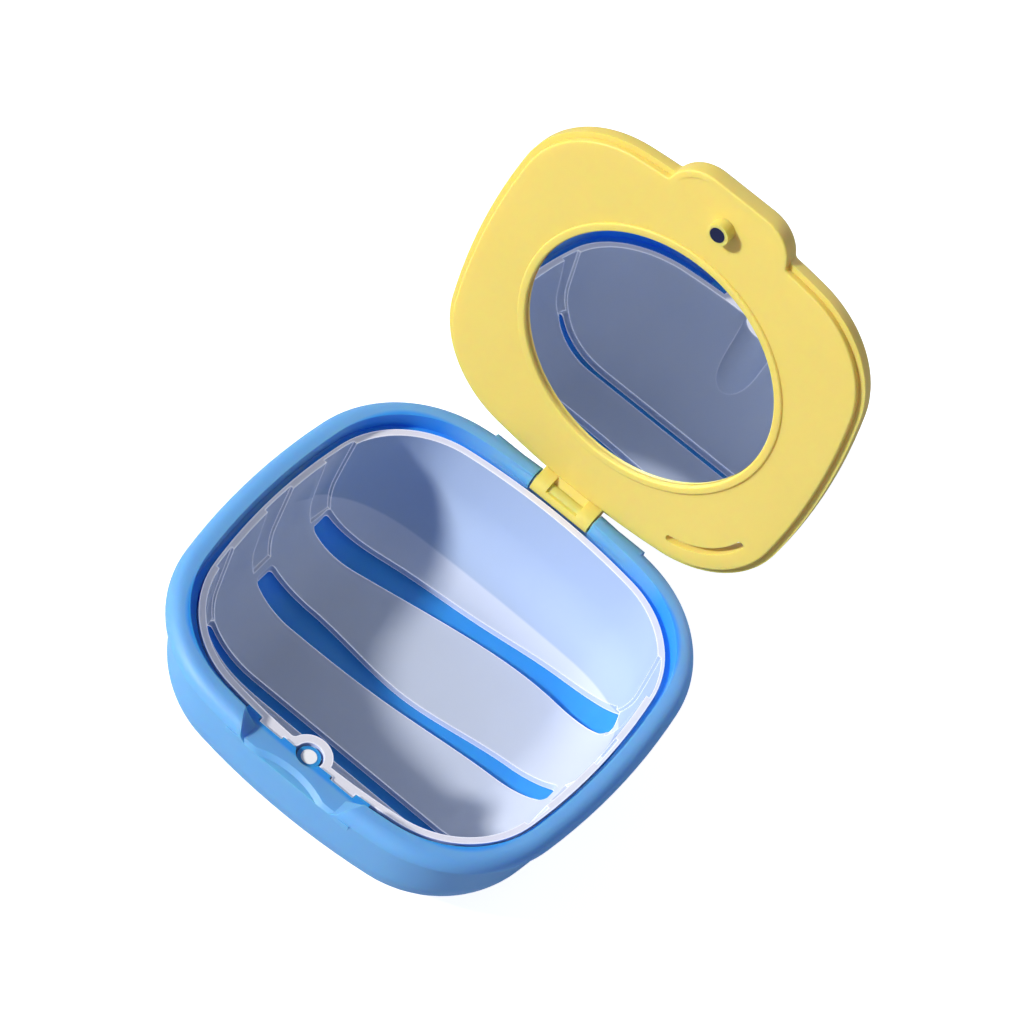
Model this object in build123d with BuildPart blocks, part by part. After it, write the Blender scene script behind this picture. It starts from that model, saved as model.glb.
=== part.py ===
# Aligner case: a pocket box with a hinged lid, a draining tray inside, a mirror in the lid and a magnet latch.
# Millimetres. X runs along the hinge, -Y is the latch side, +Z is up, and Z = 0 is the underside of the base.
# The lid stands open against its stop, as it is set down for use.
import os
from math import asin, degrees, radians, tan

from build123d import *

# Outline seen from above: four gently swelling sides joined by large corner arcs
case_width = 80.0
case_depth = 80.0
corner_radius = 24.0
side_swell = 1.1

# Base shell: a rounded bowl under a wider rim band, with a recess in the rim for the lid
base_height = 25.0
band_height = 3.0
band_overhang = 1.6
band_under_radius = 0.4
shoulder_radius = 2.4
underside_radius = 14.0
wall_draft = 6.0
base_floor = 1.5
rim_width = 3.6
recess_depth = 3.4
ledge_width = 0.9
cavity_radius = 13.0
front_setback = 1.4

# Tray: stands on the floor of the bowl and rises into the recess, with channels that lean backwards up its sides
tray_clearance = 0.3
tray_height = 20.7
tray_wall = 1.2
tray_floor = 1.4
channel_depth = 0.6
channel_lean = (2.0, 4.2)
slot_end_height = 8.3
tray_lip_span = (5.2, 9.8)
tray_lip_reach = 0.65
tray_lip_thickness = 0.45
tray_lip_clearance = 0.25
tray_lip_corner = 0.3

# Draining slots, as the front and the back edge seen from above: left end, left, middle, right, right end
slot_stations = (-30.5, -21.0, 0.0, 19.0, 30.5)
rear_slot_front = (11.4, 13.0, 17.1, 18.4, 15.7)
rear_slot_back = (16.1, 18.9, 21.5, 23.4, 21.4)
middle_slot_front = (-3.9, -4.1, -3.4, -1.4, -1.3)
middle_slot_back = (0.9, 1.7, 0.0, 2.8, 3.0)
front_slot_front = (-18.6, -18.8, -18.9, -18.9, -18.9)
front_slot_back = (-16.0, -16.0, -16.0, -16.0, -16.0)
slot_corner = 1.0

# Magnet latch at the front, with the tray's front wall in a loop round the post
magnet_setback = 6.6
magnet_radius = 1.35
magnet_thickness = 1.5
magnet_fit = 0.05
post_radius = 2.0
post_sink = 3.2
post_foot = 7.0
post_gap = 0.45
post_gap_depth = 2.2
loop_wall = 1.5
loop_flare = 0.9
magnet_gap = 0.2

# Lid: its plug drops into the recess and its tab into the thumb notch
lid_gap = 0.3
lid_rise = 0.3
lid_thickness = 2.6
lid_edge_radius = 1.0
plug_setback = 1.1
plug_height = 1.1
plug_edge_radius = 0.35
tab_half_width = 12.0
tab_reach = 4.4
tab_corner = 7.0
tab_root_radius = 0.8
tab_rim = 1.3
tab_dish_depth = 0.4
notch_clearance = 0.8
notch_depth = 2.3
notch_foot_half_width = 9.5
notch_foot_corner = 0.5
notch_edge_setback = 1.0
notch_edge_slant = 50.0
scoop_radius = 16.0
scoop_depth = 1.6
boss_radius = 2.0
vent_radius = 15.3
vent_start = 21.0
vent_sweep = 56.0
vent_width = 1.3

# Mirror in the lid
mirror_radius = 23.8
mirror_thickness = 1.0
mirror_fit = 0.1
mirror_recess = 0.55
ring_width = 1.5
ring_height = 0.4
ring_edge_radius = 0.3
adhesive_thickness = 0.2
adhesive_margin = 1.0

# Hinge: one lid knuckle between two base knuckles on a steel pin
hinge_setback = 2.5
hinge_sink = 2.0
knuckle_radius = 1.9
knuckle_width = 12.2
knuckle_gap = 0.4
base_knuckle_end = 16.0
pin_radius = 0.9
pin_fit = 0.03
pin_running_fit = 0.06
pin_cover = 1.2
knuckle_clearance = 0.4
arm_root = 1.2
pocket_width = 6.6
pocket_barrel_radius = 1.35
pocket_setback = 0.7
pocket_rise = 0.4
open_angle = 97.0

# Levels and places worked out from the sizes above
half_width = case_width / 2
half_depth = case_depth / 2
draft_slope = tan(radians(wall_draft))
band_bottom = base_height - band_height
ledge_level = base_height - recess_depth
notch_floor = base_height - notch_depth
mouth_inset = rim_width + ledge_width - (notch_floor - ledge_level) * draft_slope
tray_top = base_floor + tray_height
tray_inset = mouth_inset + tray_clearance + (notch_floor - tray_top) * draft_slope
tray_floor_level = base_floor + tray_floor
tray_front = half_depth - tray_inset - front_setback
hollow_inset = tray_inset + tray_wall
hollow_radius = cavity_radius - tray_wall
post_top = base_height - post_sink
magnet_y = magnet_setback - half_depth
lid_inset = rim_width + lid_gap
lid_level = base_height + lid_rise
lid_front = half_depth - lid_inset
plug_inset = lid_inset + plug_setback
plug_level = lid_level - plug_height
mirror_level = plug_level + mirror_recess
pocket_level = mirror_level + mirror_thickness + adhesive_thickness
boss_level = post_top + magnet_gap
hinge_y = half_depth - hinge_setback
hinge_z = base_height - hinge_sink
notch_half = knuckle_width / 2 + knuckle_gap
knuckle_room = knuckle_radius + knuckle_clearance
pin_half_length = base_knuckle_end - pin_cover
slots = (
    (rear_slot_front, rear_slot_back),
    (middle_slot_front, middle_slot_back),
    (front_slot_front, front_slot_back),
)
corner_x = half_width - corner_radius - side_swell
corner_y = half_depth - corner_radius - side_swell
os.makedirs("parts", exist_ok=True)


def side_radius(corner_offset):
    """Radius of a side arc that meets both corner arcs smoothly and swells out between them."""
    return (corner_offset**2 + (corner_radius + side_swell) ** 2 - corner_radius**2) / (2 * side_swell)


def case_outline(inset, setback=0):
    """The case's outline seen from above, moved inwards by a distance and by a further one at the front."""
    centre_y = corner_y - setback / 2
    right_radius = side_radius(centre_y)
    front_radius = side_radius(corner_x)
    right_half = degrees(asin(centre_y / (right_radius - corner_radius)))
    front_half = degrees(asin(corner_x / (front_radius - corner_radius)))
    corner_sweep = 90 - right_half - front_half
    with BuildSketch() as outline:
        with BuildLine():
            for way, turn in ((1, 0), (-1, 180)):
                right_centre = (way * (half_width - right_radius), 0)
                back_centre = (0, way * (half_depth - setback / 2 - front_radius))
                near_corner = (way * corner_x, way * centre_y)
                far_corner = (-way * corner_x, way * centre_y)
                CenterArc(right_centre, right_radius - inset, turn - right_half, 2 * right_half)
                CenterArc(near_corner, corner_radius - inset, turn + right_half, corner_sweep)
                CenterArc(back_centre, front_radius - inset, turn + 90 - front_half, 2 * front_half)
                CenterArc(far_corner, corner_radius - inset, turn + 90 + front_half, corner_sweep)
        make_face()
    return outline.sketch.translate((0, setback / 2, 0))


def bowl(top, bottom, inset, radius, setback=0):
    """A solid with the case's outline at its top, drafted walls and a large radius round its flat bottom."""
    with BuildPart() as form:
        with BuildSketch(Plane.XY.offset(top)):
            add(case_outline(inset, setback))
        extrude(amount=bottom - top, taper=wall_draft)
        fillet(form.faces().sort_by(Axis.Z)[0].edges(), radius)
    return form.part


def tab_outline(clearance, half_span=tab_half_width, corner=tab_corner):
    """The lid's thumb tab seen from above with a clearance round it, from the middle of the lid outwards."""
    length = lid_front + tab_reach + clearance
    with BuildSketch() as outline:
        with Locations((0, -length / 2)):
            RectangleRounded(2 * (half_span + clearance), length, corner + clearance)
    return outline.sketch


def tabbed_outline(inset):
    """The case's outline moved inwards, with the thumb tab on its front and rounded roots."""
    with BuildSketch() as outline:
        add(case_outline(inset))
        add(tab_outline(0))
        for way in (-1, 1):
            root = outline.vertices().sort_by_distance((way * tab_half_width, inset - half_depth))[0]
            fillet(root, tab_root_radius)
    return outline.sketch


def tray_lips(clearance):
    """Plan of the two lips on the front of the tray's rim, with a clearance round them."""
    width = tray_lip_span[1] - tray_lip_span[0] + 2 * clearance
    reach = tray_lip_reach + tray_wall / 2 + clearance
    with BuildSketch() as outline:
        for way in (-1, 1):
            with Locations((way * (tray_lip_span[0] + tray_lip_span[1]) / 2, tray_wall / 2 - tray_front)):
                RectangleRounded(width, reach, tray_lip_corner, align=(Align.CENTER, Align.MAX))
    return outline.sketch


def loop_outline(radius, inset):
    """Plan of a loop round the magnet post that flares into a front wall at a distance from the case's outline."""
    with BuildSketch() as outline:
        with Locations((0, magnet_y)):
            Rectangle(4 * radius, 3 * radius)
        add(case_outline(inset, front_setback), mode=Mode.SUBTRACT)
        with Locations(Location((0, magnet_y), 90)):
            Circle(radius)
        nearest = sorted(outline.vertices(), key=lambda point: abs(point.X))
        fillet(nearest[1:3], loop_flare)
    return outline.sketch


def slot_outline(front, back):
    """Plan of one draining slot between its two wavy edges, with rounded corners."""
    with BuildSketch() as outline:
        with BuildLine():
            Spline(*zip(slot_stations, front))
            Line((slot_stations[-1], front[-1]), (slot_stations[-1], back[-1]))
            Spline(*zip(slot_stations, back))
            Line((slot_stations[0], back[0]), (slot_stations[0], front[0]))
        make_face()
        fillet(outline.vertices(), slot_corner)
    return outline.sketch


def channel_side(front, back):
    """Side view of the channel that leads from the end of a slot up to the rim, leaning backwards."""
    with BuildSketch() as outline:
        with BuildLine():
            Polyline(
                (front, slot_end_height),
                (back, slot_end_height),
                (back + channel_lean[1], tray_top),
                (front + channel_lean[0], tray_top),
                close=True,
            )
        make_face()
    return outline.sketch


with BuildPart() as base_shell:
    with BuildSketch(Plane.XY.offset(band_bottom)):
        add(case_outline(0))
    extrude(amount=band_height)
    fillet(base_shell.faces().sort_by(Axis.Z)[-1].edges(), shoulder_radius)
    fillet(base_shell.faces().sort_by(Axis.Z)[0].edges(), band_under_radius)
    add(bowl(band_bottom, 0, band_overhang, underside_radius))
    # Recess for the lid, raised again behind the thumb notch, and the bowl below it
    with BuildSketch(Plane.XY.offset(ledge_level)):
        add(case_outline(rim_width))
    extrude(amount=recess_depth, mode=Mode.SUBTRACT)
    with BuildSketch(Plane.XY.offset(ledge_level)):
        with Locations((0, rim_width - half_depth)):
            Rectangle(2 * (tab_half_width + notch_clearance), 2 * (front_setback + 2 * ledge_width))
    extrude(amount=notch_floor - ledge_level)
    add(bowl(notch_floor, base_floor, mouth_inset, cavity_radius, front_setback), mode=Mode.SUBTRACT)
    with BuildSketch(Plane.XY.offset(ledge_level)):
        add(tray_lips(tray_lip_clearance))
    extrude(amount=notch_floor - ledge_level, mode=Mode.SUBTRACT)
    # Outer hinge knuckles run along the back of the rim, with room for the lid's knuckle between them
    with BuildSketch(Plane.YZ.offset(-base_knuckle_end)):
        with Locations((hinge_y, hinge_z)):
            Circle(knuckle_radius)
    extrude(amount=2 * base_knuckle_end)
    with BuildSketch(Plane.YZ.offset(-notch_half)):
        with Locations((hinge_y, hinge_z)):
            Circle(knuckle_room)
            Rectangle(2 * knuckle_room, 2 * knuckle_room, align=(Align.CENTER, Align.MIN))
            Rectangle(2 * knuckle_room, 2 * knuckle_room, align=(Align.MIN, Align.CENTER))
    extrude(amount=2 * notch_half, mode=Mode.SUBTRACT)
    with BuildSketch(Plane.YZ.offset(-pin_half_length)):
        with Locations((hinge_y, hinge_z)):
            Circle(pin_radius + pin_fit)
    extrude(amount=2 * pin_half_length, mode=Mode.SUBTRACT)
    # Thumb notch in front, flared towards the inside, with a finger scoop in the band below it
    with BuildSketch(Plane.XY.offset(notch_floor)):
        add(tab_outline(notch_clearance, notch_foot_half_width - notch_clearance, notch_foot_corner))
    with BuildSketch(Plane.XY.offset(base_height)):
        add(tab_outline(notch_clearance))
    loft(mode=Mode.SUBTRACT)
    with BuildSketch(Plane.XY.offset(notch_floor)):
        with Locations((0, notch_edge_setback - half_depth)):
            Rectangle(2 * notch_foot_half_width, 4 * notch_edge_setback, align=(Align.CENTER, Align.MAX))
        with Locations((0, notch_edge_setback + scoop_depth - scoop_radius - half_depth)):
            Circle(scoop_radius)
    extrude(amount=band_bottom - notch_floor, taper=notch_edge_slant, mode=Mode.SUBTRACT)
    # Magnet post, joined to the front wall below a gap that the tray's loop drops into
    with BuildSketch(Plane.XY.offset(notch_floor)):
        with Locations((0, magnet_y)):
            Circle(post_radius + post_gap)
    extrude(amount=post_top - post_gap_depth - notch_floor, mode=Mode.SUBTRACT)
    with BuildSketch(Plane.XY.offset(post_foot)):
        with Locations((0, magnet_y)):
            Circle(post_radius)
    extrude(amount=post_top - post_foot)
    with BuildSketch(Plane.XY.offset(post_top)):
        with Locations((0, magnet_y)):
            Circle(magnet_radius + magnet_fit)
    extrude(amount=-magnet_thickness, mode=Mode.SUBTRACT)
base_shell.part.label = "base_shell"
export_step(base_shell.part, "parts/base_shell.step")


with BuildPart() as base_magnet:
    with BuildSketch(Plane.XY.offset(post_top)):
        with Locations((0, magnet_y)):
            Circle(magnet_radius)
    extrude(amount=-magnet_thickness)
base_magnet.part.label = "base_magnet"
export_step(base_magnet.part, "parts/base_magnet.step")


with BuildPart() as hinge_pin:
    with BuildSketch(Plane.YZ.offset(-pin_half_length)):
        with Locations((hinge_y, hinge_z)):
            Circle(pin_radius)
    extrude(amount=2 * pin_half_length)
hinge_pin.part.label = "hinge_pin"
export_step(hinge_pin.part, "parts/hinge_pin.step")


with BuildPart() as inner_tray:
    add(bowl(tray_top, base_floor, tray_inset, cavity_radius, front_setback))
    add(bowl(tray_top, tray_floor_level, hollow_inset, hollow_radius, front_setback), mode=Mode.SUBTRACT)
    # Channels in the side walls carry on from the slots up to the rim
    with BuildPart(mode=Mode.PRIVATE) as channels:
        for end, way in ((0, -1), (-1, 1)):
            with BuildSketch(Plane.YZ):
                for front, back in slots:
                    add(channel_side(front[end], back[end]))
            extrude(amount=way * half_width)
        channel_inset = hollow_inset - channel_depth
        add(bowl(tray_top, tray_floor_level, channel_inset, hollow_radius, front_setback), mode=Mode.INTERSECT)
    add(channels.part, mode=Mode.SUBTRACT)
    with BuildSketch(Plane.XY.offset(base_floor)):
        for front, back in slots:
            add(slot_outline(front, back))
    extrude(amount=slot_end_height - base_floor, mode=Mode.SUBTRACT)
    # The front wall loops inwards round the magnet post, and the loop runs out in the curve of the floor
    with BuildPart(mode=Mode.PRIVATE) as loop:
        with BuildSketch(Plane.XY.offset(base_floor)):
            add(loop_outline(post_radius + post_gap + loop_wall, hollow_inset))
        extrude(amount=tray_height)
        add(bowl(tray_top, base_floor, tray_inset, cavity_radius, front_setback), mode=Mode.INTERSECT)
    add(loop.part)
    with BuildSketch(Plane.XY.offset(post_foot - tray_clearance)):
        add(loop_outline(post_radius + post_gap, tray_inset))
    extrude(amount=tray_height, mode=Mode.SUBTRACT)
    # Two lips on the front of the rim
    with BuildSketch(Plane.XY.offset(tray_top)):
        add(tray_lips(0))
    extrude(amount=-tray_lip_thickness)
inner_tray.part.label = "inner_tray"
export_step(inner_tray.part, "parts/inner_tray.step")


# The lid and what it carries are modelled shut, then turned open about the hinge
with BuildPart() as shut_lid:
    with BuildSketch(Plane.XY.offset(lid_level)):
        add(tabbed_outline(lid_inset))
    extrude(amount=lid_thickness)
    fillet(shut_lid.faces().sort_by(Axis.Z)[-1].edges(), lid_edge_radius)
    # Plug inside the flange, carried out under the thumb tab
    with BuildPart(mode=Mode.PRIVATE) as plug:
        with BuildSketch(Plane.XY.offset(plug_level)):
            add(tabbed_outline(plug_inset))
        extrude(amount=plug_height)
        fillet(plug.faces().sort_by(Axis.Z)[0].edges(), plug_edge_radius)
    add(plug.part)
    # Dish under the thumb tab, sloping in behind its rim
    with BuildPart(mode=Mode.PRIVATE) as dish:
        with BuildSketch(Plane.XY.offset(plug_level)):
            add(tab_outline(-tab_rim))
        extrude(amount=plug_height)
        with BuildSketch(Plane.YZ.offset(-tab_half_width)):
            with BuildLine():
                Polyline(
                    (-lid_front, plug_level),
                    (-lid_front - tab_reach, plug_level),
                    (-lid_front - tab_reach, plug_level + tab_dish_depth),
                    (-lid_front + plug_setback, plug_level),
                    close=True,
                )
            make_face()
        extrude(amount=2 * tab_half_width, mode=Mode.INTERSECT)
    add(dish.part, mode=Mode.SUBTRACT)
    # Hinge arm from the plug down to the knuckle, with a pocket that leaves a thinner barrel in its middle
    with BuildSketch(Plane.YZ.offset(-knuckle_width / 2)):
        with Locations((hinge_y, hinge_z)):
            Circle(knuckle_radius)
        with Locations((lid_front, plug_level)):
            Rectangle(arm_root, plug_height + lid_thickness - lid_edge_radius, align=(Align.MAX, Align.MIN))
        make_hull()
    extrude(amount=knuckle_width)
    with BuildSketch(Plane.YZ.offset(-pocket_width / 2)):
        with BuildLine():
            Polyline(
                (lid_front - arm_root, plug_level),
                (hinge_y - pocket_setback, hinge_z + pocket_rise),
                (hinge_y - pocket_setback, hinge_z - knuckle_radius),
                (lid_front - arm_root, hinge_z - knuckle_radius),
                close=True,
            )
        make_face()
    extrude(amount=pocket_width, mode=Mode.SUBTRACT)
    with BuildSketch(Plane.YZ.offset(-knuckle_width / 2)):
        with Locations((hinge_y, hinge_z)):
            Circle(pocket_barrel_radius)
    extrude(amount=knuckle_width)
    with BuildSketch(Plane.YZ.offset(-knuckle_width / 2)):
        with Locations((hinge_y, hinge_z)):
            Circle(pin_radius + pin_running_fit)
    extrude(amount=knuckle_width, mode=Mode.SUBTRACT)
    # Ring and pocket for the mirror
    with BuildPart(mode=Mode.PRIVATE) as ring:
        with BuildSketch(Plane.XY.offset(plug_level)):
            Circle(mirror_radius + mirror_fit + ring_width)
            Circle(mirror_radius + mirror_fit, mode=Mode.SUBTRACT)
        extrude(amount=-ring_height)
        fillet(ring.faces().sort_by(Axis.Z)[0].edges(), ring_edge_radius)
    add(ring.part)
    with BuildSketch(Plane.XY.offset(plug_level)):
        Circle(mirror_radius + mirror_fit)
    extrude(amount=pocket_level - plug_level, mode=Mode.SUBTRACT)
    # Boss for the magnet that meets the one in the base
    with BuildSketch(Plane.XY.offset(plug_level)):
        with Locations((0, magnet_y)):
            Circle(boss_radius)
    extrude(amount=boss_level - plug_level)
    with BuildSketch(Plane.XY.offset(boss_level)):
        with Locations((0, magnet_y)):
            Circle(magnet_radius + magnet_fit)
    extrude(amount=magnet_thickness, mode=Mode.SUBTRACT)
    # Vent along one back corner
    with BuildSketch(Plane.XY.offset(plug_level)):
        SlotArc(CenterArc((corner_x, corner_y), vent_radius, vent_start, vent_sweep), vent_width)
    extrude(amount=plug_height + lid_thickness, mode=Mode.SUBTRACT)


with BuildPart() as shut_mirror:
    with BuildSketch(Plane.XY.offset(mirror_level)):
        Circle(mirror_radius)
    extrude(amount=mirror_thickness)


with BuildPart() as shut_adhesive:
    with BuildSketch(Plane.XY.offset(mirror_level + mirror_thickness)):
        Circle(mirror_radius - adhesive_margin)
    extrude(amount=adhesive_thickness)


with BuildPart() as shut_magnet:
    with BuildSketch(Plane.XY.offset(boss_level)):
        with Locations((0, magnet_y)):
            Circle(magnet_radius)
    extrude(amount=magnet_thickness)


hinge_axis = Axis((0, hinge_y, hinge_z), (1, 0, 0))
opening_pieces = {
    "lid_shell": shut_lid,
    "mirror": shut_mirror,
    "mirror_adhesive": shut_adhesive,
    "lid_magnet": shut_magnet,
}
for name, shut_piece in opening_pieces.items():
    piece = shut_piece.part.rotate(hinge_axis, -open_angle)
    piece.label = name
    export_step(piece, f"parts/{name}.step")
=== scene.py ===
import math
import bmesh
import bpy
from mathutils import Matrix, Vector


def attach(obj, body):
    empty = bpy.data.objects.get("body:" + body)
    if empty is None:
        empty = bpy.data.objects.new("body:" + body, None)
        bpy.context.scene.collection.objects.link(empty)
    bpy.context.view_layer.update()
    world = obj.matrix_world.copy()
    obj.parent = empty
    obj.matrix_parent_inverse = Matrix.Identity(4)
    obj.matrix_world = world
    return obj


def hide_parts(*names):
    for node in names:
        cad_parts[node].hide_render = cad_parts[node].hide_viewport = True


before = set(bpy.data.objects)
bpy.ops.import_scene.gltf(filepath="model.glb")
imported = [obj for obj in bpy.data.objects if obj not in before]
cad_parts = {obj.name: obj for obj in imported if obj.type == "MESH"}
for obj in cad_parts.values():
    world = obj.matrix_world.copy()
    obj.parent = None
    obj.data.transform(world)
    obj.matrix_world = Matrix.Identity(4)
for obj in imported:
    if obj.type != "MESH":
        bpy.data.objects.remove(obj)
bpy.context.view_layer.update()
scene = bpy.context.scene
scene.view_settings.view_transform = "Standard"  # plain colours, as in a catalogue picture
print("frame loaded")


# camera, at the photograph's viewpoint
view = {
    "place": (0.1307, -0.4787, 0.7216),  # metres, in the part's own frame
    "right": (0.7671, 0.5807, 0.2729),
    "down": (0.6225, -0.5706, -0.5356),
    "focalPixels": 5210,
    "framePixels": 1024,
    "sensor": 36,  # mm
    "farthest": 20,  # metres
}


def addCamera():
    across = Vector(view["right"]).normalized()
    down = Vector(view["down"]).normalized()
    turn = Matrix((across, -down, across.cross(-down))).transposed()
    data = bpy.data.cameras.new("photoCamera")
    data.sensor_width = view["sensor"]
    data.lens = view["focalPixels"] / view["framePixels"] * view["sensor"]
    data.clip_end = view["farthest"]
    camera = bpy.data.objects.new("photoCamera", data)
    camera.matrix_world = Matrix.Translation(view["place"]) @ turn.to_4x4()
    scene.collection.objects.link(camera)
    scene.camera = camera


addCamera()
print("camera placed")


# node helpers, for materials and groups alike
def feed(tree, socket, value):
    # the value is a fixed one or another node's output
    if isinstance(value, bpy.types.NodeSocket):
        tree.links.new(value, socket)
    else:
        socket.default_value = value


def addMath(tree, operation, *values):
    node = tree.nodes.new("ShaderNodeMath")
    node.operation = operation
    for socket, value in zip(node.inputs, values):
        feed(tree, socket, value)
    return node.outputs["Value"]


def addVectorMath(tree, operation, *values):
    node = tree.nodes.new("ShaderNodeVectorMath")
    node.operation = operation
    for socket, value in zip(node.inputs, values):
        feed(tree, socket, value)
    return node.outputs["Value" if operation in ("DOT_PRODUCT", "LENGTH") else "Vector"]


def addRange(tree, value, given, result=(0, 1)):
    # what lies between the two given values comes out between the two results
    node = tree.nodes.new("ShaderNodeMapRange")
    labels = ("Value", "From Min", "From Max", "To Min", "To Max")
    for label, setting in zip(labels, (value, *given, *result)):
        feed(tree, node.inputs[label], setting)
    return node.outputs["Result"]


def addMix(tree, factor, first, second):
    node = tree.nodes.new("ShaderNodeMix")
    node.data_type = "RGBA"
    for label, value in zip(("Factor", "A", "B"), (factor, first, second)):
        feed(tree, node.inputs[label], value)
    return node.outputs["Result"]


def addNoise(tree, place, scale, detail):
    node = tree.nodes.new("ShaderNodeTexNoise")
    for label, value in zip(("Vector", "Scale", "Detail"), (place, scale, detail)):
        feed(tree, node.inputs[label], value)
    return node.outputs["Fac"]


def addGroup(tree, group, values):
    node = tree.nodes.new("ShaderNodeGroup")
    node.node_tree = group
    for label, value in values.items():
        feed(tree, node.inputs[label], value)
    return node.outputs


def solid(colour):
    return (*colour, 1)


# shader groups
def newGroup(name, inputs, outputs):
    group = bpy.data.node_groups.new(name, "ShaderNodeTree")
    for way, sockets in (("INPUT", inputs), ("OUTPUT", outputs)):
        for label, kind in sockets.items():
            group.interface.new_socket(label, in_out=way, socket_type="NodeSocket" + kind)
    given = group.nodes.new("NodeGroupInput").outputs
    result = group.nodes.new("NodeGroupOutput").inputs
    return group, given, result


mouldPattern = {
    "cloudScale": 38,  # cells per metre
    "cloudDetail": 3,
    "cloudRange": (0.3, 0.7),
    "grainDetail": 2,
    "flowScale": 160,
    "flowDetail": 2,
    "flowStretch": (1, 0.15, 1),  # long from front to back
    "flowMiddle": 0.5,
}


def makeMouldedSkin(pattern):
    # satin moulding: a fine spark-eroded grain, slow shade drift and faint flow streaks
    group, given, result = newGroup(
        "mouldedSkin",
        {
            "Colour": "Color",
            "Drift": "Float",
            "Grain Size": "Float",
            "Roughness": "Float",
            "Roughness Spread": "Float",
        },
        {"Colour": "Color", "Roughness": "Float", "Height": "Float"},
    )
    place = group.nodes.new("ShaderNodeTexCoord").outputs["Object"]
    stretch = group.nodes.new("ShaderNodeMapping")
    feed(group, stretch.inputs["Vector"], place)
    feed(group, stretch.inputs["Scale"], pattern["flowStretch"])
    cloud = addNoise(group, place, pattern["cloudScale"], pattern["cloudDetail"])
    grain = addNoise(group, place, given["Grain Size"], pattern["grainDetail"])
    flow = addNoise(group, stretch.outputs["Vector"], pattern["flowScale"], pattern["flowDetail"])
    darkest = addMath(group, "SUBTRACT", 1, given["Drift"])
    lightest = addMath(group, "ADD", 1, given["Drift"])
    shade = addRange(group, cloud, pattern["cloudRange"], (darkest, lightest))
    tint = group.nodes.new("ShaderNodeVectorMath")
    tint.operation = "SCALE"
    feed(group, tint.inputs["Vector"], given["Colour"])
    feed(group, tint.inputs["Scale"], shade)
    streak = addMath(group, "SUBTRACT", flow, pattern["flowMiddle"])
    rough = addMath(group, "MULTIPLY_ADD", streak, given["Roughness Spread"], given["Roughness"])
    feed(group, result["Colour"], tint.outputs["Vector"])
    feed(group, result["Roughness"], rough)
    feed(group, result["Height"], grain)
    return group


creasePattern = {
    "samples": 6,
    "match": (0.975, 0.86),  # rounded normal against the real one, where an edge starts and is full
}


def makePaintedEdgeHighlights(pattern):
    # painted highlight: frosted plastic is painted paler and milkier along rounded edges and
    # creases, standing in for the light caught there
    group, given, result = newGroup(
        "paintedEdgeHighlights",
        {"Body Colour": "Color", "Edge Highlight Colour": "Color", "Edge Width": "Float"},
        {"Colour": "Color", "Edge": "Float"},
    )
    rounded = group.nodes.new("ShaderNodeBevel")
    rounded.samples = pattern["samples"]
    feed(group, rounded.inputs["Radius"], given["Edge Width"])
    real = group.nodes.new("ShaderNodeNewGeometry").outputs["Normal"]
    match = addVectorMath(group, "DOT_PRODUCT", rounded.outputs["Normal"], real)
    edge = addRange(group, match, pattern["match"])
    feed(group, result["Colour"], addMix(group, edge, given["Body Colour"], given["Edge Highlight Colour"]))
    feed(group, result["Edge"], edge)
    return group


mouldedSkin = makeMouldedSkin(mouldPattern)
paintedEdgeHighlights = makePaintedEdgeHighlights(creasePattern)


# materials
def newMaterial(name):
    material = bpy.data.materials.new(name)
    material.use_nodes = True
    return material, material.node_tree, material.node_tree.nodes["Principled BSDF"].inputs


def addSkin(tree, shader, colour, recipe):
    skin = addGroup(tree, mouldedSkin, {
        "Colour": colour,
        "Drift": recipe["drift"],
        "Grain Size": recipe["grainSize"],
        "Roughness": recipe["roughness"],
        "Roughness Spread": recipe["roughnessSpread"],
    })
    bump = tree.nodes.new("ShaderNodeBump")
    feed(tree, bump.inputs["Strength"], recipe["grainStrength"])
    feed(tree, bump.inputs["Distance"], recipe["grainDepth"])
    feed(tree, bump.inputs["Height"], skin["Height"])
    feed(tree, shader["Base Color"], skin["Colour"])
    feed(tree, shader["Roughness"], skin["Roughness"])
    feed(tree, shader["Normal"], bump.outputs["Normal"])
    feed(tree, shader["Specular IOR Level"], recipe["gloss"])


def addGlow(tree, shader, recipe):
    # light that spreads a little way inside the plastic
    feed(tree, shader["Subsurface Weight"], recipe["glow"])
    feed(tree, shader["Subsurface Radius"], recipe["glowReach"])
    feed(tree, shader["Subsurface Scale"], recipe["glowScale"])


def makeBluePlastic(recipe):
    # painted shade: the recess behind the tray is painted a deeper, more saturated blue than the
    # outside, standing in for the shade inside it; it shows in the slots
    material, tree, shader = newMaterial("bluePlastic")
    place = tree.nodes.new("ShaderNodeTexCoord").outputs
    level = (1, 1, 0)  # leaves out the height
    squared = addVectorMath(tree, "MULTIPLY", place["Object"], place["Object"])
    spread = addVectorMath(tree, "LENGTH", addVectorMath(tree, "MULTIPLY", squared, level))
    inside = addRange(tree, spread, [reach ** 2 for reach in recipe["recessEdge"]])
    # leaves out the rounded foot, which faces outwards and down
    lean = (0, 0, -recipe["footLean"])
    outward = addVectorMath(tree, "MULTIPLY_ADD", place["Object"], level, lean)
    facing = addVectorMath(tree, "DOT_PRODUCT", outward, place["Normal"])
    recess = addMath(tree, "MULTIPLY", inside, addRange(tree, facing, recipe["footFade"]))
    # painted shade: the recess takes the darker blue
    colour = addMix(tree, recess, solid(recipe["colour"]), solid(recipe["recessShadeColour"]))
    addSkin(tree, shader, colour, recipe)
    addGlow(tree, shader, recipe)
    return material


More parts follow.
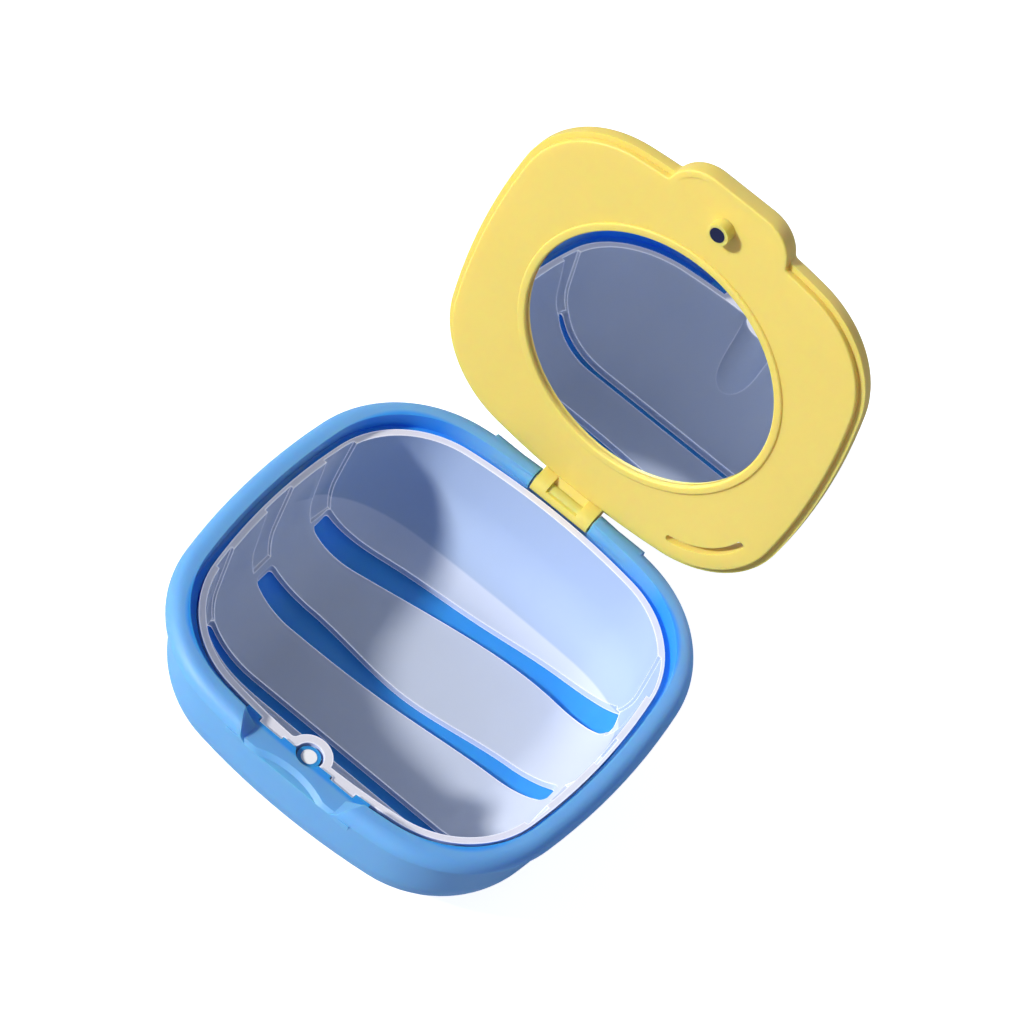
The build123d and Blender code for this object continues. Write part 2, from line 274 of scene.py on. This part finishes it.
bluePlastic = makeBluePlastic({
    "colour": (0.15, 0.405, 0.74),
    # painted shade colour inside the recess
    "recessShadeColour": (0.025, 0.3, 0.89),
    "recessEdge": (0.0358, 0.0352),  # metres from the middle, on the axes
    "footLean": 0.01,  # metres, how much a face that looks down counts as outward
    "footFade": (0.002, 0),  # metres, outward and inward
    "drift": 0.02,
    "grainSize": 2600,  # cells per metre
    "grainStrength": 0.1,
    "grainDepth": 0.0001,  # metres
    "roughness": 0.52,
    "roughnessSpread": 0.06,
    "gloss": 0.5,
    "glow": 0.6,
    "glowReach": (0.1, 0.45, 1.0),
    "glowScale": 0.004,  # metres
})


def makeYellowPlastic(recipe):
    material, tree, shader = newMaterial("yellowPlastic")
    addSkin(tree, shader, solid(recipe["colour"]), recipe)
    addGlow(tree, shader, recipe)
    return material


yellowPlastic = makeYellowPlastic({
    "colour": (0.79, 0.63, 0.145),
    "drift": 0.02,
    "grainSize": 2600,
    "grainStrength": 0.1,
    "grainDepth": 0.0001,
    "roughness": 0.52,
    "roughnessSpread": 0.06,
    "gloss": 0.5,
    "glow": 0.6,
    "glowReach": (1.0, 0.6, 0.08),
    "glowScale": 0.003,
})


def makeFrostedPlastic(recipe):
    material, tree, shader = newMaterial("frostedPlastic")
    place = tree.nodes.new("ShaderNodeTexCoord").outputs["Object"]
    split = tree.nodes.new("ShaderNodeSeparateXYZ")
    feed(tree, split.inputs["Vector"], place)
    # painted highlight: the rim is painted milkier than the walls
    rim = addRange(tree, split.outputs["Z"], recipe["rimHeight"])
    # the back wall lets more of the blue base through, as far as the first channel; it is also
    # painted bluer there, a painted shade for the blue light seen through it
    rise = addVectorMath(tree, "DOT_PRODUCT", place, recipe["wallFacing"])
    behind = addRange(tree, rise, recipe["wallEdge"])
    beside = addRange(tree, split.outputs["X"], recipe["wallLeft"])
    wall = addMath(tree, "MULTIPLY", behind, beside)
    # painted highlight colour for the edges and the rim
    paintedHighlightColour = solid(recipe["paintedHighlightColour"])
    wallShadeColour = addMix(tree, wall, solid(recipe["colour"]), solid(recipe["wallShadeColour"]))
    edges = addGroup(tree, paintedEdgeHighlights, {
        "Body Colour": addMix(tree, rim, wallShadeColour, paintedHighlightColour),
        "Edge Highlight Colour": paintedHighlightColour,
        "Edge Width": recipe["edgeWidth"],
    })
    addSkin(tree, shader, edges["Colour"], recipe)
    cover = addRange(tree, wall, (0, 1), (recipe["floorCover"], recipe["wallCover"]))
    cover = addMath(tree, "MAXIMUM", cover, edges["Edge"])
    feed(tree, shader["Alpha"], addMath(tree, "MAXIMUM", cover, rim))
    # painted glow: the edges, and more faintly the rim, glow through emission, a painted highlight
    # though they are no lamp
    paintedGlowShare = addMath(tree, "MULTIPLY_ADD", rim, recipe["paintedRimGlow"], edges["Edge"])
    paintedGlowEmission = addMix(tree, paintedGlowShare, solid((0, 0, 0)), solid(recipe["paintedGlowColour"]))
    feed(tree, shader["Emission Color"], paintedGlowEmission)
    feed(tree, shader["Emission Strength"], 1)
    feed(tree, shader["Transmission Weight"], recipe["clear"])
    material.cycles.emission_sampling = "NONE"  # the gleam is too faint to light anything
    return material


frostedPlastic = makeFrostedPlastic({
    "colour": (0.7, 0.77, 0.93),
    # painted shade colour on the back wall
    "wallShadeColour": (0.56, 0.7, 0.93),
    # painted highlight colour on edges and rim
    "paintedHighlightColour": (0.76, 0.74, 0.77),
    "edgeWidth": 0.00045,  # metres
    # painted glow colour on edges and rim, and the rim's share of it
    "paintedGlowColour": (0.36, 0.38, 0.46),
    "paintedRimGlow": 0.3,
    "rimHeight": (0.0219, 0.02215),  # metres above the ground
    "wallFacing": (0, 1, 1.55),  # the boundary dips along the back and rises at the corners
    "wallEdge": (0.0326, 0.0332),  # metres along wallFacing
    "wallLeft": (-0.0335, -0.0325),  # metres from the middle
    "floorCover": 0.88,
    "wallCover": 0.66,
    "drift": 0.02,
    "grainSize": 1800,
    "grainStrength": 0.1,
    "grainDepth": 0.0001,
    "roughness": 0.62,
    "roughnessSpread": 0.06,
    "clear": 0.12,
    "gloss": 0.3,
})


def makeMirrorGlass(recipe):
    material, tree, shader = newMaterial("mirrorGlass")
    feed(tree, shader["Metallic"], 1)
    feed(tree, shader["Base Color"], solid(recipe["colour"]))
    feed(tree, shader["Roughness"], recipe["roughness"])
    return material


mirrorGlass = makeMirrorGlass({"colour": (0.92, 0.95, 1), "roughness": 0.015})


def makeMetal(name, recipe):
    # steel, plating or lacquer, with fine marks that only change its roughness
    material, tree, shader = newMaterial(name)
    place = tree.nodes.new("ShaderNodeTexCoord").outputs["Object"]
    marks = addNoise(tree, place, recipe["marks"], recipe["markDetail"])
    feed(tree, shader["Roughness"], addRange(tree, marks, (0, 1), recipe["roughness"]))
    feed(tree, shader["Metallic"], recipe["metal"])
    feed(tree, shader["Base Color"], solid(recipe["colour"]))
    return material


steel = makeMetal("pinSteel", {
    "colour": (0.55, 0.56, 0.58),
    "metal": 1,
    "roughness": (0.24, 0.36),
    "marks": 900,  # cells per metre
    "markDetail": 2,
})
brightMagnet = makeMetal("brightMagnet", {
    "colour": (0.97, 0.97, 0.96),
    "metal": 0,
    "roughness": (0.28, 0.42),
    "marks": 500,
    "markDetail": 2,
})
darkMagnet = makeMetal("darkMagnet", {
    "colour": (0.02, 0.025, 0.08),
    "metal": 0.6,
    "roughness": (0.28, 0.42),
    "marks": 500,
    "markDetail": 2,
})


def makeTape(recipe):
    # tissue tape: short pressed fibres in a milky adhesive
    material, tree, shader = newMaterial("doubleSidedTape")
    fibre = tree.nodes.new("ShaderNodeTexVoronoi")
    fibre.feature = "DISTANCE_TO_EDGE"
    feed(tree, fibre.inputs["Vector"], tree.nodes.new("ShaderNodeTexCoord").outputs["Object"])
    feed(tree, fibre.inputs["Scale"], recipe["fibres"])
    tone = addRange(tree, fibre.outputs["Distance"], (0, recipe["fibreWidth"]), recipe["tone"])
    feed(tree, shader["Base Color"], tone)
    feed(tree, shader["Roughness"], recipe["roughness"])
    return material


tape = makeTape({
    "fibres": 900,  # cells per metre
    "fibreWidth": 0.2,  # share of a cell
    "tone": (0.55, 0.75),
    "roughness": 0.8,
})
print("materials ready")


# pieces
smoothing = {
    "weld": 0.000005,  # metres
    "sharpFrom": 28,  # degrees between faces
}


def smoothCopy(node, name, body, material):
    piece = bpy.data.objects.new(name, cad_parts[node].data.copy())
    scene.collection.objects.link(piece)
    mesh = bmesh.new()
    mesh.from_mesh(piece.data)
    bmesh.ops.remove_doubles(mesh, verts=mesh.verts, dist=smoothing["weld"])
    sharpFrom = math.radians(smoothing["sharpFrom"])
    for edge in mesh.edges:
        edge.smooth = edge.is_manifold and edge.calc_face_angle(0) < sharpFrom
    for face in mesh.faces:
        face.smooth = True
    mesh.to_mesh(piece.data)
    mesh.free()
    piece.data.materials.clear()
    piece.data.materials.append(material)
    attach(piece, body)
    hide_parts(node)


smoothCopy("base_shell", "baseMoulding", "base", bluePlastic)
smoothCopy("inner_tray", "drainTray", "base", frostedPlastic)
smoothCopy("lid_shell", "lidMoulding", "lid", yellowPlastic)
for node, material in (
    ("mirror", mirrorGlass),
    ("hinge_pin", steel),
    ("base_magnet", brightMagnet),
    ("lid_magnet", darkMagnet),
    ("mirror_adhesive", tape),
):
    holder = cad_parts[node].data
    holder.materials.clear()
    holder.materials.append(material)
print("pieces dressed")


# floor and studio light
studio = {
    "floorReach": 3.0,  # metres
    "floorColour": (0.54, 0.57, 0.64),  # what the object gets back from the table
    "floorRoughness": 0.9,
    "floorGloss": 0.1,
    "floorWhite": 0.88,  # how white the table is to the eye, where no key light falls
    "key": {  # from the front left, as in the photograph
        "travel": (0.61, 0.62, -0.5),
        "colour": (1, 0.97, 0.92),
        "strength": 4.0,
        "angle": 6,  # degrees
    },
    "back": {  # keeps the back from going dull
        "travel": (-0.1, -0.9, -0.25),
        "colour": (1, 0.98, 0.95),
        "strength": 0.8,
        "angle": 30,
    },
    "fill": 0.32,
    "fillColour": (0.6, 0.7, 1),
}


def addFloor():
    mesh = bpy.data.meshes.new("floor")
    reach = studio["floorReach"]
    corners = [(-reach, -reach, 0), (reach, -reach, 0), (reach, reach, 0), (-reach, reach, 0)]
    mesh.from_pydata(corners, [], [(0, 1, 2, 3)])
    floor = bpy.data.objects.new("floor", mesh)
    scene.collection.objects.link(floor)
    material, tree, shader = newMaterial("paleFloor")
    ray = tree.nodes.new("ShaderNodeLightPath")
    white = addMath(tree, "MULTIPLY", ray.outputs["Is Camera Ray"], studio["floorWhite"])
    feed(tree, shader["Base Color"], solid(studio["floorColour"]))
    feed(tree, shader["Roughness"], studio["floorRoughness"])
    feed(tree, shader["Specular IOR Level"], studio["floorGloss"])
    feed(tree, shader["Emission Color"], solid((1, 1, 1)))
    feed(tree, shader["Emission Strength"], white)
    mesh.materials.append(material)


def addSun(name):
    light = studio[name]
    data = bpy.data.lights.new(name + "Light", "SUN")
    data.energy = light["strength"]
    data.color = light["colour"]
    data.angle = math.radians(light["angle"])
    lamp = bpy.data.objects.new(name + "Light", data)
    lamp.rotation_euler = Vector(light["travel"]).to_track_quat("-Z", "Y").to_euler()
    scene.collection.objects.link(lamp)


def addWorld():
    world = bpy.data.worlds.new("softRoom")
    scene.world = world
    world.use_nodes = True
    room = world.node_tree.nodes["Background"]
    room.inputs["Color"].default_value = solid(studio["fillColour"])
    room.inputs["Strength"].default_value = studio["fill"]


addFloor()
addSun("key")
addSun("back")
addWorld()
print("studio lit")
